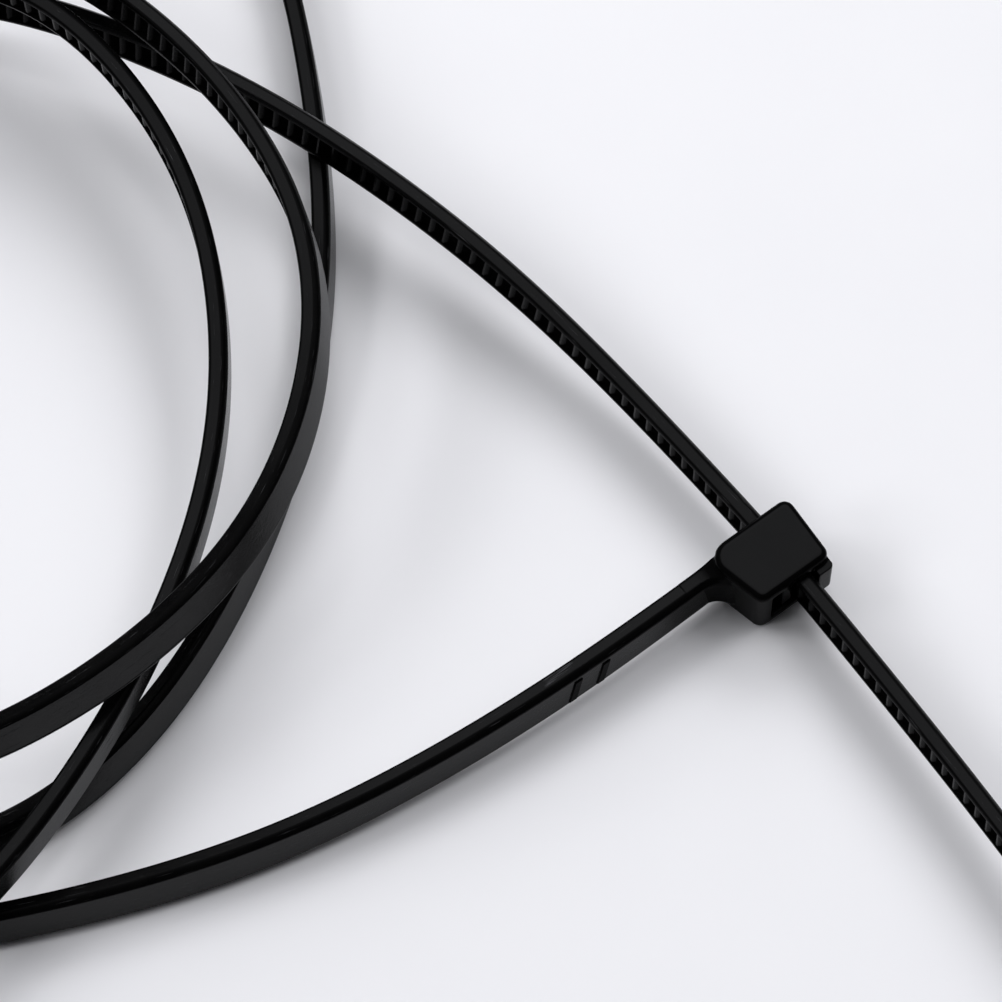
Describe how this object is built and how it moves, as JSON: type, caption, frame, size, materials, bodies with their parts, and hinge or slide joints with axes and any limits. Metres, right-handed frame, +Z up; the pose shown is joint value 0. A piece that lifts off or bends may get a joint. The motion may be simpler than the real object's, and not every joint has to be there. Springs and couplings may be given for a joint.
{
  "type": "cable tie",
  "caption": "Miniature nylon cable tie with a toothed strap, its tail pulled through the locking head, lying on edge in a few loose round coils.",
  "frame": {"origin": "on the table under the middle of the locking head", "axes": "+X along the head from the strap's root to its free end, +Y against the way the tail is pulled through, +Z up from the table"},
  "size_m": [0.0724, 0.108, 0.0085],
  "materials": {
    "nylon": "matte black moulded nylon, slightly scuffed"
  },
  "bodies": {
    "root": {"cable_tie": "nylon"}
  },
  "joints": []
}
